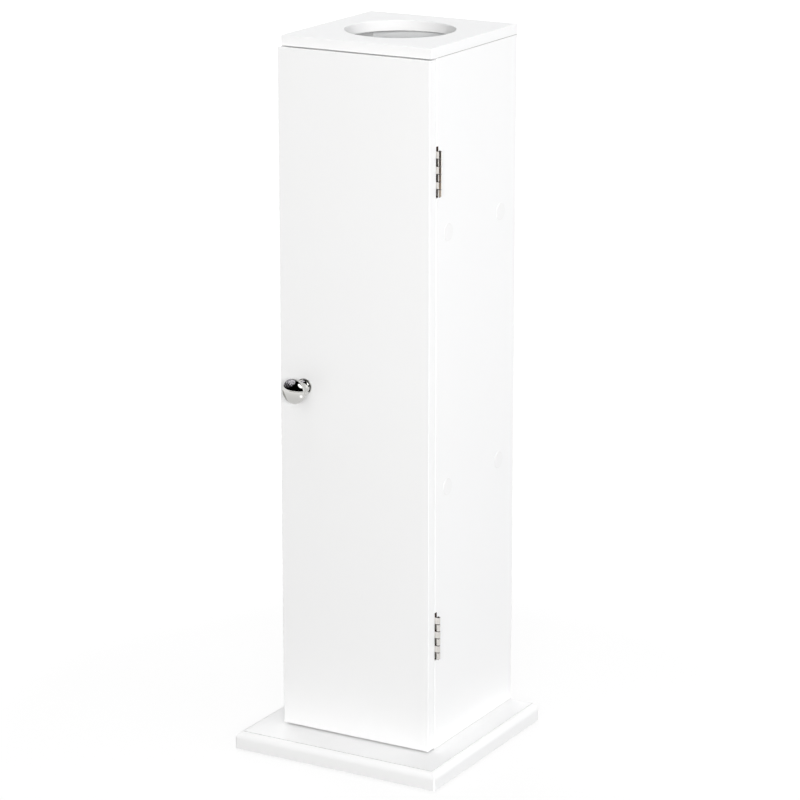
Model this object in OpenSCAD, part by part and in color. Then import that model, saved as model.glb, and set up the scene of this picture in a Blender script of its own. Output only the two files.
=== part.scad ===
// Toilet roll storage cabinet: a slim white tower with a hinged door, two fixed shelves
// and a round opening in its top, standing on a wider base plate.
// Frame: +Z up, the front faces -Y, the origin is on the floor under the middle of the base.

/* [Body] */
// Height of the cabinet, floor to top
total_h = 655; // [600:5:760]
// Width of the body across the side panels
body_w = 150; // [136:1:180]
// Depth of the top panel, front edge to back
top_d = 156; // [140:1:180]
// Thickness of the side panels
side_t = 9; // [8:0.5:12]
// Thickness of the top panel
top_t = 9.5; // [9:0.5:18]
// Thickness of the shelves
shelf_t = 9; // [8:0.5:15]
// Thickness of the back panel
back_t = 4; // [3:0.5:6]
// How far the back panel lies inside the rear edges
back_inset = 6.5; // [4:0.5:10]
// Depth of the grooves that hold the back panel
groove_depth = 4; // [2:0.5:5]
// Radius that eases the edges of every board
edge_r = 0.5; // [0.3:0.1:1.2]

/* [Base] */
// Width of the base plate
base_w = 208; // [190:1:260]
// Depth of the base plate
base_d = 200; // [190:1:260]
// Thickness of the base plate
base_t = 16; // [14:1:25]
// Radius of the round along the base's front and side edges
base_round = 6; // [3:0.5:9]
// Step between that round and the flat top of the base
base_step = 0.4; // [0.2:0.1:1]
// Radius of the base's upright front corners
base_corner_r = 1.5; // [0.5:0.5:4]

/* [Foot pads] */
// Diameter of a foot pad
pad_d = 14; // [10:0.5:20]
// Thickness of a foot pad
pad_t = 1.8; // [1:0.1:4]
// Centre of a pad from the base's side edge
pad_in_x = 9; // [8:0.5:20]
// Centre of a pad from the base's front or rear edge
pad_in_y = 13; // [8:0.5:24]

/* [Top opening] */
// Diameter of the round opening in the top panel
hole_d = 98; // [80:1:108]
// Radius that eases the rim of the opening
hole_rim_r = 0.5; // [0.3:0.1:1.5]

/* [Shelves] */
// Clear height of the bottom compartment
lower_clear = 237; // [205:1:245]
// Clear height of the middle compartment
middle_clear = 222; // [205:1:235]
// How far the shelves stay behind the side panels' front edges
shelf_setback = 2; // [0.5:0.5:10]

/* [Door] */
// Thickness of the door
door_t = 12; // [11:0.5:18]
// How far the door stands in front of the top panel
door_proud = 3.5; // [0:0.5:6]
// Gap between the door and the side panels' front edges
door_gap = 0.3; // [0.2:0.1:1]
// Gap over the door
door_top_gap = 0.7; // [0.5:0.1:3]
// Gap under the door
door_bottom_gap = 1.5; // [1:0.1:5]
// How far the door stands past the body on its free side
door_past = 1.5; // [0:0.5:3]

/* [Knob] */
// Diameter of the knob's head
knob_d = 23; // [18:0.5:32]
// How far the knob stands out from the door
knob_reach = 24; // [20:0.5:32]
// Height of the domed face over the knob's rim
knob_dome = 3.6; // [2:0.2:6]
// Thickness of the knob's rim
knob_rim_t = 4; // [2:0.1:5]
// Diameter of the knob's foot on the door
knob_foot_d = 15.5; // [12:0.5:20]
// Thickness of that foot
knob_foot_t = 1.4; // [1:0.1:3]
// Diameter of the knob's neck at its narrowest
knob_neck_d = 7; // [6.5:0.5:10]
// Centre of the knob from the door's free edge
knob_in = 25; // [16:1:40]
// Centre of the knob above the door's lower edge
knob_up = 323; // [290:1:340]
// Thread of the knob's screw
knob_screw_d = 4; // [3:0.5:5]
// How far the screw reaches into the knob
knob_screw_in = 10; // [6:0.5:14]

/* [Hinges] */
// Length of a hinge
hinge_len = 40; // [32:1:60]
// Diameter of the hinge's barrel
barrel_d = 3.6; // [3.4:0.1:5.5]
// Diameter of the hinge's pin
pin_d = 1.7; // [1.2:0.1:1.8]
// How far the pin stands out at each end of the barrel
pin_out = 0.4; // [0:0.1:1]
// Number of knuckles of a hinge, shared between its two leaves
knuckles = 6; // [4:2:10]
// Thickness of a hinge leaf
leaf_t = 0.9; // [0.8:0.1:1.1]
// Outer face of a leaf from the pin's axis
leaf_off = 1.75; // [1.6:0.05:2.2]
// Inner edge of a leaf from the pin's axis
leaf_reach = 11.3; // [10:0.1:13]
// Outer edge of a leaf beside the other leaf's knuckles, from the pin's axis
leaf_cut = 4.4; // [4:0.1:5]
// Pin's axis outside the face of the side panel
hinge_stand = 2.5; // [2.3:0.1:4.5]
// Middle of the upper hinge below the top panel
hinge_from_top = 100; // [60:1:140]
// Middle of the lower hinge above the base
hinge_from_base = 106; // [60:1:140]
// Room in the side panel's notch above a hinge
notch_above = 3.8; // [0.5:0.1:6]
// Room in the side panel's notch below a hinge
notch_below = 1.2; // [0.5:0.1:6]
// Screws of a leaf from the middle of the hinge
leaf_screw_up = 12; // [8:0.5:15]
// Diameter of a hinge screw
hinge_screw_d = 2.8; // [2.2:0.1:3]
// Diameter of a hinge screw's head
hinge_head_d = 4.6; // [4:0.1:5]
// Length of a hinge screw
hinge_screw_len = 10; // [8:0.5:11]

/* [Magnetic catch] */
// Middle of the catch above the middle of the knob
catch_up = 62; // [45:1:90]
// Length of the catch's mounting foot
catch_foot_len = 46; // [42:1:56]
// Thickness of the mounting foot
catch_foot_t = 1.8; // [1.2:0.1:3]
// Length of the catch's body
catch_body_len = 26; // [24:1:30]
// Depth of the catch, front to back
catch_depth = 12; // [11:0.5:18]
// How far the catch stands in from the side panel
catch_high = 12; // [10:0.5:15]
// Length of the magnet and its pole plates
magnet_len = 20; // [16:1:21]
// Thickness of the magnet
magnet_t = 4; // [3:0.5:6]
// Depth of the magnet
magnet_depth = 8; // [6:0.5:9]
// Thickness of a pole plate
pole_t = 1.2; // [0.8:0.1:1.6]
// How far the pole plates stand out of the catch
pole_out = 0.8; // [0.3:0.1:1.5]
// Diameter of a catch screw
catch_screw_d = 2.6; // [2:0.1:3]
// Diameter of a catch screw's head
catch_head_d = 5; // [4:0.1:6]
// Length of a catch screw
catch_screw_len = 8; // [6:0.5:9]
// Width of the strike plate on the door
strike_w = 12; // [10:0.5:14]
// Length of the strike plate
strike_len = 34; // [26:1:44]
// Thickness of the strike plate
strike_t = 1.2; // [0.8:0.1:1.5]
// Free edge of the strike plate from the side panel's inner face
strike_in = 1; // [0.5:0.1:3]

/* [Carcass fasteners] */
// Front shelf screw behind the side panel's front edge
shelf_screw_front = 21.5; // [15:0.5:40]
// Rear shelf screw before the side panel's rear edge
shelf_screw_rear = 29.5; // [20:0.5:45]
// Diameter of a shelf screw
shelf_screw_d = 3.5; // [3:0.1:4]
// Diameter of a shelf screw's head
shelf_head_d = 7; // [6:0.1:8]
// Length of a shelf screw
shelf_screw_len = 32; // [24:1:40]
// Diameter of a screw cover
cover_d = 15.4; // [10:0.1:18]
// Thickness of a screw cover
cover_t = 0.4; // [0.2:0.1:1]
// Front base screw behind the side panel's front edge
base_screw_front = 28; // [26:1:50]
// Rear base screw before the side panel's rear edge
base_screw_rear = 36; // [30:1:60]
// Diameter of a base screw
base_screw_d = 4; // [3.5:0.1:4.5]
// Diameter of a base screw's head
base_head_d = 8; // [7:0.1:9]
// Length of a base screw
base_screw_len = 40; // [32:1:50]
// Diameter of a dowel
dowel_d = 5; // [4:0.5:6]
// Length of a dowel
dowel_len = 20; // [16:1:26]
// How far a dowel reaches into the top panel or the base plate
dowel_in = 6; // [4:0.5:7]
// Front dowel behind the side panel's front edge
dowel_front = 14; // [8:0.5:20]
// Rear dowel before the side panel's rear edge
dowel_rear = 19; // [18:0.5:24]

/* [Fits] */
// Gap round a pin in its knuckles
pin_clear = 0.05; // [0.03:0.01:0.1]
// Gap round a screw or a dowel in its hole
screw_clear = 0.05; // [0.03:0.01:0.1]
// Gap between neighbouring knuckles
knuckle_gap = 0.6; // [0.1:0.05:0.8]
// Gap round the back panel in its grooves
groove_clear = 0.2; // [0.1:0.05:0.4]
// Gap between a shelf and the back panel
shelf_clear = 0.3; // [0.1:0.05:0.5]
// Gap round the magnet and between the pole plates and the strike plate
magnet_clear = 0.2; // [0.1:0.05:0.4]

/* [Hidden] */
$fn = 48;

// Cuts run this far past the faces that they open
past = 1;
// Holes are this much deeper than what they hold
spare = 0.5;
// Diameter of a wood screw's point
point_d = 0.6;

// Planes of the body
side_x = body_w / 2;
inner_x = side_x - side_t;
back_y = base_d / 2;
top_y = back_y - top_d;
door_y = top_y - door_proud;
door_back_y = door_y + door_t;
front_y = door_back_y + door_gap;
body_d = back_y - front_y;
back_panel_y = back_y - back_inset - back_t;
top_mid_y = (top_y + back_y) / 2;
floor_z = pad_t + base_t;
ceiling_z = total_h - top_t;

// Shelves
lower_shelf_z = floor_z + lower_clear;
upper_shelf_z = lower_shelf_z + shelf_t + middle_clear;
shelf_y = front_y + shelf_setback;

// Door and knob
door_z = floor_z + door_bottom_gap;
door_x = -side_x - door_past;
knob_x = door_x + knob_in;
knob_z = door_z + knob_up;
knob_head_d = 2 * knob_screw_d;
knob_head_t = 0.6 * knob_screw_d;
rim_r = knob_rim_t / 2;
rim_y = knob_reach - knob_dome - rim_r;
dome_half = knob_d / 2 - rim_r;
// Distance of the dome's centre from the rim's, so that the dome runs into the rim without a crease
dome_to_rim = (dome_half * dome_half + knob_dome * knob_dome) / (2 * knob_dome);
dome_r = dome_to_rim + rim_r;
dome_y = knob_reach - dome_r;
neck_y = 0.8 * knob_foot_t;

// Hinges
barrel_r = barrel_d / 2;
axis_x = side_x + hinge_stand;
axis_y = door_back_y + leaf_off;
notch_y = axis_y + leaf_off;
upper_hinge_z = ceiling_z - hinge_from_top;
lower_hinge_z = floor_z + hinge_from_base;
hinge_zs = [upper_hinge_z, lower_hinge_z];
leaf_screw_x = -(leaf_reach + leaf_cut) / 2;

// Magnetic catch
catch_z = knob_z + catch_up;
pole_y = door_back_y + strike_t + magnet_clear;
catch_y = pole_y + pole_out;
pocket_w = magnet_t + 2 * pole_t + 2 * magnet_clear;
pocket_mid_x = -inner_x + catch_foot_t + (catch_high - catch_foot_t) / 2;
catch_screw_up = (catch_foot_len + catch_body_len) / 4;
catch_screw_y = catch_y + catch_depth / 2;
strike_x = -inner_x + strike_in;
strike_mid_x = strike_x + strike_w / 2;

// Rows of fasteners
edge_x = side_x - side_t / 2;
shelf_screw_ys = [front_y + shelf_screw_front, back_y - shelf_screw_rear];
shelf_mid_zs = [lower_shelf_z + shelf_t / 2, upper_shelf_z + shelf_t / 2];
base_screw_ys = [front_y + base_screw_front, back_y - base_screw_rear];
dowel_ys = [front_y + dowel_front, back_y - dowel_rear];

// Rectangle with its lower left corner at the origin and its four corners rounded
module rounded_rect(a, b, r) {
    difference() {
        square([a, b]);
        for (i = [0, 1], j = [0, 1])
            translate([i * a, j * b])
                mirror([i, 0])
                    mirror([0, j])
                        corner_waste(r, 0);
    }
}

// What is cut from a corner at the origin: a quarter round, with a step below the top face
module corner_waste(r, step) {
    translate([-past, -past])
        difference() {
            square([r + past, r + step + past]);
            translate([r + past, r + step + past])
                circle(r);
        }
}

// Board with its lowest corner at the origin and all twelve edges eased
module board(size) {
    intersection() {
        linear_extrude(size[2])
            rounded_rect(size[0], size[1], edge_r);
        translate([0, size[1], 0])
            rotate([90, 0, 0])
                linear_extrude(size[1])
                    rounded_rect(size[0], size[2], edge_r);
        rotate([90, 0, 90])
            linear_extrude(size[0])
                rounded_rect(size[1], size[2], edge_r);
    }
}

// Round hole along Z from the origin downwards, opened past the face above it
module blind_hole(d, depth) {
    translate([0, 0, -depth])
        cylinder(d = d + 2 * screw_clear, h = depth + past);
}

// Two crossed slots in a screw's head, whose face is at the origin
module cross_recess(head_d) {
    long = 0.55 * head_d;
    wide = 0.14 * head_d;
    deep = 0.16 * head_d;
    for (turn = [0, 90])
        rotate([0, 0, turn])
            translate([-long / 2, -wide / 2, -deep])
                cube([long, wide, deep + past]);
}

// Pointed shank of a screw, from below its head down to -len
module shank(d, from, len) {
    translate([0, 0, d - len])
        cylinder(d = d, h = len - d - from);
    translate([0, 0, -len])
        cylinder(d1 = point_d, d2 = d, h = d);
}

// Countersunk screw that points down, with its head's face at the origin
module flat_screw(head_d, d, len) {
    head_t = (head_d - d) / 2;
    difference() {
        union() {
            translate([0, 0, -head_t])
                cylinder(d1 = d, d2 = head_d, h = head_t);
            shank(d, head_t, len);
        }
        cross_recess(head_d);
    }
}

// Hole that takes such a screw
module flat_screw_hole(head_d, d, len) {
    head_t = (head_d - d) / 2;
    blind_hole(d, len + spare);
    translate([0, 0, -head_t])
        cylinder(d1 = d + 2 * screw_clear, d2 = head_d + 2 * screw_clear, h = head_t);
    cylinder(d = head_d + 2 * screw_clear, h = past);
}

// Domed screw that points down, with the underside of its head at the origin
module pan_screw(head_d, head_t, d, len) {
    difference() {
        union() {
            intersection() {
                cylinder(d = head_d, h = head_t);
                translate([0, 0, head_t - head_d])
                    sphere(r = head_d);
            }
            shank(d, 0, len);
        }
        translate([0, 0, head_t])
            cross_recess(head_d);
    }
}

// ---------------------------------------------------------------- carcass

module base_plate() {
    color("whitesmoke")
        difference() {
            translate([-base_w / 2, -base_d / 2, pad_t])
                base_blank();
            for (side = [-1, 1], y = base_screw_ys)
                translate([side * edge_x, y, pad_t])
                    rotate([180, 0, 0])
                        flat_screw_hole(base_head_d, base_screw_d, base_screw_len);
            for (side = [-1, 1], y = dowel_ys)
                translate([side * edge_x, y, floor_z])
                    blind_hole(dowel_d, dowel_in + spare);
        }
}

// Plate with a stepped round on its front and side edges and a square rear edge
module base_blank() {
    intersection() {
        translate([0, base_d, 0])
            rotate([90, 0, 0])
                linear_extrude(base_d)
                    difference() {
                        square([base_w, base_t]);
                        for (i = [0, 1])
                            translate([i * base_w, base_t])
                                mirror([i, 0])
                                    mirror([0, 1])
                                        corner_waste(base_round, base_step);
                    }
        rotate([90, 0, 90])
            linear_extrude(base_w)
                difference() {
                    square([base_d, base_t]);
                    translate([0, base_t])
                        mirror([0, 1])
                            corner_waste(base_round, base_step);
                }
        linear_extrude(base_t)
            difference() {
                square([base_w, base_d]);
                for (i = [0, 1])
                    translate([i * base_w, 0])
                        mirror([i, 0])
                            corner_waste(base_corner_r, 0);
            }
    }
}

module foot_pads() {
    color("dimgray")
        for (x = [-1, 1], y = [-1, 1])
            translate([x * (base_w / 2 - pad_in_x), y * (base_d / 2 - pad_in_y), 0])
                cylinder(d = pad_d, h = pad_t);
}

// Board, groove and holes that both side panels share, with its outer face at side_x
module side_blank() {
    difference() {
        translate([inner_x, front_y, floor_z])
            board([side_t, body_d, ceiling_z - floor_z]);
        translate([inner_x - past, back_panel_y - groove_clear, floor_z - past])
            cube([groove_depth + past, back_t + 2 * groove_clear, ceiling_z - floor_z + 2 * past]);
        for (y = shelf_screw_ys, z = shelf_mid_zs)
            translate([side_x, y, z])
                rotate([0, 90, 0])
                    flat_screw_hole(shelf_head_d, shelf_screw_d, shelf_screw_len);
        for (y = base_screw_ys)
            translate([edge_x, y, pad_t])
                rotate([180, 0, 0])
                    blind_hole(base_screw_d, base_screw_len + spare);
        for (y = dowel_ys) {
            translate([edge_x, y, floor_z])
                rotate([180, 0, 0])
                    blind_hole(dowel_d, dowel_len - dowel_in + spare);
            translate([edge_x, y, ceiling_z])
                blind_hole(dowel_d, dowel_len - dowel_in + spare);
        }
    }
}

module side_panel_left() {
    color("white")
        difference() {
            mirror([1, 0, 0])
                side_blank();
            for (up = [-1, 1])
                translate([-inner_x, catch_screw_y, catch_z + up * catch_screw_up])
                    rotate([0, 90, 0])
                        blind_hole(catch_screw_d, catch_screw_len - catch_foot_t + spare);
        }
}

module side_panel_right() {
    color("white")
        difference() {
            side_blank();
            for (z = hinge_zs) {
                translate([inner_x - past, front_y - past, z - hinge_len / 2 - notch_below])
                    cube([side_t + 2 * past, notch_y - front_y + past, hinge_len + notch_above + notch_below]);
                for (up = [-1, 1])
                    translate([axis_x + leaf_screw_x, notch_y, z + up * leaf_screw_up])
                        rotate([90, 0, 0])
                            blind_hole(hinge_screw_d, hinge_screw_len - leaf_t + spare);
            }
        }
}

module back_panel() {
    half_w = inner_x + groove_depth - groove_clear;
    color("white")
        translate([-half_w, back_panel_y, floor_z])
            cube([2 * half_w, back_t, ceiling_z - floor_z - groove_clear]);
}

module top_panel() {
    color("whitesmoke")
        difference() {
            translate([-side_x, top_y, ceiling_z])
                board([body_w, top_d, top_t]);
            translate([0, top_mid_y, ceiling_z])
                opening_cut();
            for (side = [-1, 1], y = dowel_ys)
                translate([side * edge_x, y, ceiling_z])
                    rotate([180, 0, 0])
                        blind_hole(dowel_d, dowel_in + spare);
        }
}

// Round opening with both of its rims eased
module opening_cut() {
    translate([0, 0, -past])
        cylinder(d = hole_d, h = top_t + 2 * past, $fn = 96);
    for (i = [0, 1])
        translate([0, 0, i * top_t])
            mirror([0, 0, i])
                rotate_extrude($fn = 96)
                    difference() {
                        translate([0, -past])
                            square([hole_d / 2 + hole_rim_r, hole_rim_r + past]);
                        translate([hole_d / 2 + hole_rim_r, hole_rim_r])
                            circle(hole_rim_r);
                    }
}

module shelf(z) {
    color("white")
        difference() {
            translate([-inner_x, shelf_y, z])
                board([2 * inner_x, back_panel_y - shelf_clear - shelf_y, shelf_t]);
            for (side = [-1, 1], y = shelf_screw_ys)
                translate([side * side_x, y, z + shelf_t / 2])
                    rotate([0, side * 90, 0])
                        blind_hole(shelf_screw_d, shelf_screw_len + spare);
        }
}

module shelf_upper() {
    shelf(upper_shelf_z);
}

module shelf_lower() {
    shelf(lower_shelf_z);
}

// ---------------------------------------------------------------- door and knob

module door() {
    color("whitesmoke")
        difference() {
            translate([door_x, door_y, door_z])
                board([side_x - door_x, door_t, ceiling_z - door_top_gap - door_z]);
            translate([knob_x, door_back_y, knob_z])
                rotate([-90, 0, 0])
                    blind_hole(knob_screw_d, door_t + past);
            for (z = hinge_zs, up = [-1, 1])
                translate([axis_x + leaf_screw_x, door_back_y, z + up * leaf_screw_up])
                    rotate([-90, 0, 0])
                        blind_hole(hinge_screw_d, hinge_screw_len - leaf_t + spare);
            translate([strike_mid_x, door_back_y, catch_z])
                rotate([-90, 0, 0])
                    blind_hole(hinge_screw_d, hinge_screw_len - strike_t + spare);
        }
}

// Turned knob: a flat foot, a waisted neck and a domed head with a round rim
module knob() {
    color("silver")
        translate([knob_x, door_y, knob_z])
            rotate([90, 0, 0])
                difference() {
                    union() {
                        rotate_extrude($fn = 96)
                            knob_foot();
                        rotate_extrude($fn = 96)
                            knob_neck();
                        rotate_extrude($fn = 96)
                            knob_head();
                    }
                    translate([0, 0, -past])
                        cylinder(d = knob_screw_d + 2 * screw_clear, h = knob_screw_in + spare + past);
                }
}

// Half outlines of the knob: radius along X, distance from the door along Y
module knob_foot() {
    difference() {
        square([knob_foot_d / 2, knob_foot_t]);
        translate([knob_foot_d / 2, knob_foot_t])
            rotate([0, 0, 180])
                corner_waste(knob_foot_t / 2, 0);
    }
}

module knob_neck() {
    polygon(concat(
        [[0, knob_foot_t / 2], [0, rim_y]],
        [for (t = [1 : -1 / 16 : 0]) [neck_radius(t), neck_y + t * (rim_y - neck_y)]],
        [[neck_radius(0), knob_foot_t / 2]]
    ));
}

module knob_head() {
    turn = asin(dome_half / dome_to_rim);
    far = 2 * dome_r;
    translate([0, rim_y - rim_r])
        square([dome_half, knob_rim_t]);
    translate([dome_half, rim_y])
        circle(rim_r);
    translate([0, dome_y])
        intersection() {
            circle(dome_r, $fn = 180);
            polygon([
                [0, rim_y - dome_y], [dome_half, rim_y - dome_y],
                [far * sin(turn), far * cos(turn)], [far * sin(turn), far], [0, far]
            ]);
        }
}

// Radius of the neck from the foot at t = 0, over the waist, to the head at t = 1
function neck_radius(t) =
    let (foot_r = knob_foot_d / 2 - knob_foot_t, head_r = knob_d / 2 - knob_rim_t, waist = 0.42)
    t < waist
        ? knob_neck_d / 2 + (foot_r - knob_neck_d / 2) * pow(1 - t / waist, 4)
        : knob_neck_d / 2 + (head_r - knob_neck_d / 2) * pow((t - waist) / (1 - waist), 2.2);

module knob_screw() {
    color("silver")
        translate([knob_x, door_back_y, knob_z])
            rotate([-90, 0, 0])
                pan_screw(knob_head_d, knob_head_t, knob_screw_d, door_t + knob_screw_in);
}

// ---------------------------------------------------------------- hinges

// Leaf on the pin's axis, with its plate towards -X: side -1 on the door, 1 on the side panel.
// The first of its knuckles is number first, counted from the top.
module hinge_leaf(side, first) {
    pitch = hinge_len / knuckles;
    plate_y = side > 0 ? leaf_off - leaf_t : -leaf_off;
    color("silver")
        difference() {
            union() {
                translate([-leaf_reach, plate_y, -hinge_len / 2])
                    cube([leaf_reach - leaf_cut, leaf_t, hinge_len]);
                for (k = [first : 2 : knuckles - 1])
                    translate([0, 0, hinge_len / 2 - (k + 1) * pitch + knuckle_gap / 2]) {
                        cylinder(d = barrel_d, h = pitch - knuckle_gap);
                        translate([-leaf_cut - past, plate_y, 0])
                            cube([leaf_cut + past, leaf_t, pitch - knuckle_gap]);
                    }
            }
            translate([0, 0, -hinge_len / 2 - past])
                cylinder(d = pin_d + 2 * pin_clear, h = hinge_len + 2 * past);
            for (up = [-1, 1])
                translate([leaf_screw_x, side * (leaf_off - leaf_t), up * leaf_screw_up])
                    rotate([side * 90, 0, 0])
                        flat_screw_hole(hinge_head_d, hinge_screw_d, hinge_screw_len);
        }
}

module hinge_pin(z) {
    color("silver")
        translate([axis_x, axis_y, z - hinge_len / 2 - pin_out])
            cylinder(d = pin_d, h = hinge_len + 2 * pin_out);
}

module upper_hinge_door_leaf() {
    translate([axis_x, axis_y, upper_hinge_z])
        hinge_leaf(-1, 0);
}

module upper_hinge_frame_leaf() {
    translate([axis_x, axis_y, upper_hinge_z])
        hinge_leaf(1, 1);
}

module upper_hinge_pin() {
    hinge_pin(upper_hinge_z);
}

module lower_hinge_door_leaf() {
    translate([axis_x, axis_y, lower_hinge_z])
        hinge_leaf(-1, 0);
}

module lower_hinge_frame_leaf() {
    translate([axis_x, axis_y, lower_hinge_z])
        hinge_leaf(1, 1);
}

module lower_hinge_pin() {
    hinge_pin(lower_hinge_z);
}

// Screws of both hinges on one side: side -1 in the door, 1 in the side panel
module hinge_screws(side) {
    color("silver")
        for (z = hinge_zs, up = [-1, 1])
            translate([axis_x + leaf_screw_x, axis_y + side * (leaf_off - leaf_t), z + up * leaf_screw_up])
                rotate([side * 90, 0, 0])
                    flat_screw(hinge_head_d, hinge_screw_d, hinge_screw_len);
}

module hinge_screws_door() {
    hinge_screws(-1);
}

module hinge_screws_frame() {
    hinge_screws(1);
}

// ---------------------------------------------------------------- magnetic catch

// Housing on the left side panel: a foot with two screw holes and a body with a front pocket
module catch_housing() {
    color("ivory")
        difference() {
            union() {
                translate([-inner_x, catch_y, catch_z - catch_foot_len / 2])
                    cube([catch_foot_t, catch_depth, catch_foot_len]);
                translate([-inner_x, catch_y, catch_z - catch_body_len / 2])
                    cube([catch_high, catch_depth, catch_body_len]);
            }
            translate([
                pocket_mid_x - pocket_w / 2, catch_y - past,
                catch_z - magnet_len / 2 - magnet_clear
            ])
                cube([pocket_w, magnet_depth + 2 * magnet_clear + past, magnet_len + 2 * magnet_clear]);
            for (up = [-1, 1])
                translate([-inner_x + catch_foot_t, catch_screw_y, catch_z + up * catch_screw_up])
                    rotate([0, 90, 0])
                        blind_hole(catch_screw_d, catch_foot_t + past);
        }
}

module catch_magnet() {
    color("dimgray")
        translate([pocket_mid_x - magnet_t / 2, catch_y + magnet_clear, catch_z - magnet_len / 2])
            cube([magnet_t, magnet_depth, magnet_len]);
}

module catch_pole_plates() {
    color("silver")
        for (side = [-1, 1])
            translate([
                pocket_mid_x + side * (magnet_t + pole_t) / 2 - pole_t / 2, pole_y,
                catch_z - magnet_len / 2
            ])
                cube([pole_t, magnet_depth + pole_out + magnet_clear, magnet_len]);
}

module catch_screws() {
    color("silver")
        for (up = [-1, 1])
            translate([-inner_x + catch_foot_t, catch_screw_y, catch_z + up * catch_screw_up])
                rotate([0, 90, 0])
                    pan_screw(catch_head_d, catch_head_d / 3, catch_screw_d, catch_screw_len);
}

// Steel plate on the back of the door that the magnet holds
module strike_plate() {
    color("silver")
        difference() {
            translate([strike_x, door_back_y, catch_z - strike_len / 2])
                cube([strike_w, strike_t, strike_len]);
            translate([strike_mid_x, door_back_y + strike_t, catch_z])
                rotate([-90, 0, 0])
                    flat_screw_hole(hinge_head_d, hinge_screw_d, hinge_screw_len);
        }
}

module strike_screw() {
    color("silver")
        translate([strike_mid_x, door_back_y + strike_t, catch_z])
            rotate([-90, 0, 0])
                flat_screw(hinge_head_d, hinge_screw_d, hinge_screw_len);
}

// ---------------------------------------------------------------- carcass fasteners

module shelf_screws(side) {
    color("silver")
        for (y = shelf_screw_ys, z = shelf_mid_zs)
            translate([side * side_x, y, z])
                rotate([0, side * 90, 0])
                    flat_screw(shelf_head_d, shelf_screw_d, shelf_screw_len);
}

module shelf_screws_left() {
    shelf_screws(-1);
}

module shelf_screws_right() {
    shelf_screws(1);
}

// Round stickers over the heads of the shelf screws
module screw_covers(side) {
    color("gainsboro")
        for (y = shelf_screw_ys, z = shelf_mid_zs)
            translate([side * side_x, y, z])
                rotate([0, side * 90, 0])
                    cylinder(d = cover_d, h = cover_t);
}

module screw_covers_left() {
    screw_covers(-1);
}

module screw_covers_right() {
    screw_covers(1);
}

module top_dowels() {
    color("burlywood")
        for (side = [-1, 1], y = dowel_ys)
            translate([side * edge_x, y, ceiling_z + dowel_in - dowel_len])
                cylinder(d = dowel_d, h = dowel_len);
}

module base_dowels() {
    color("burlywood")
        for (side = [-1, 1], y = dowel_ys)
            translate([side * edge_x, y, floor_z - dowel_in])
                cylinder(d = dowel_d, h = dowel_len);
}

module base_screws() {
    color("silver")
        for (side = [-1, 1], y = base_screw_ys)
            translate([side * edge_x, y, pad_t])
                rotate([180, 0, 0])
                    flat_screw(base_head_d, base_screw_d, base_screw_len);
}

base_plate();
foot_pads();
side_panel_left();
side_panel_right();
back_panel();
top_panel();
shelf_upper();
shelf_lower();
door();
knob();
knob_screw();
upper_hinge_door_leaf();
upper_hinge_frame_leaf();
upper_hinge_pin();
lower_hinge_door_leaf();
lower_hinge_frame_leaf();
lower_hinge_pin();
hinge_screws_door();
hinge_screws_frame();
catch_housing();
catch_magnet();
catch_pole_plates();
catch_screws();
strike_plate();
strike_screw();
shelf_screws_left();
shelf_screws_right();
screw_covers_left();
screw_covers_right();
top_dowels();
base_dowels();
base_screws();
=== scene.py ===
import math

import bmesh
import bpy
import numpy as np
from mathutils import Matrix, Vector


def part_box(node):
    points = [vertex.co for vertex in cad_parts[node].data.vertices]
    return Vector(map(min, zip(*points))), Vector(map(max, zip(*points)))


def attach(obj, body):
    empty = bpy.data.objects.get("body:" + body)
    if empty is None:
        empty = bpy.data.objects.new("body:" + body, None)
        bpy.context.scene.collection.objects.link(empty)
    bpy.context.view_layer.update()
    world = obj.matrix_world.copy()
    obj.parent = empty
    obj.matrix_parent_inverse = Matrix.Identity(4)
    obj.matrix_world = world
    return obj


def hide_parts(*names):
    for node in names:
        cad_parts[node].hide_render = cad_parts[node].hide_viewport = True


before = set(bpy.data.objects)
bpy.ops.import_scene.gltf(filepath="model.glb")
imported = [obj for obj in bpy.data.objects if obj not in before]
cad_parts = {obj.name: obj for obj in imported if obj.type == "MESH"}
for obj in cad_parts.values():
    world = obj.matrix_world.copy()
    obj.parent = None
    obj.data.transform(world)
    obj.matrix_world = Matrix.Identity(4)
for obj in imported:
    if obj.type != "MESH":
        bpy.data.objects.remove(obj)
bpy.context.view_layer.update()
print("frame: loaded", len(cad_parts), "nodes")

mm = 0.001
cabinet = "cabinet_body"
doorLeaf = "door_body"
weldDistance = 1e-7
sharpAngle = math.radians(32)


# Shader nodes written as expressions

class Value:
    # One output socket. The signs add a Math node behind it, so 1 - mask and mask * 0.2 both work.
    def __init__(self, nodes, socket):
        self.nodes = nodes
        self.socket = socket

    def maths(self, operation, first, second):
        return self.nodes.maths(operation, first, second)

    def __add__(self, other):
        return self.maths("ADD", self, other)

    def __sub__(self, other):
        return self.maths("SUBTRACT", self, other)

    def __rsub__(self, other):
        return self.maths("SUBTRACT", other, self)

    def __mul__(self, other):
        return self.maths("MULTIPLY", self, other)

    __radd__ = __add__
    __rmul__ = __mul__


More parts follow.
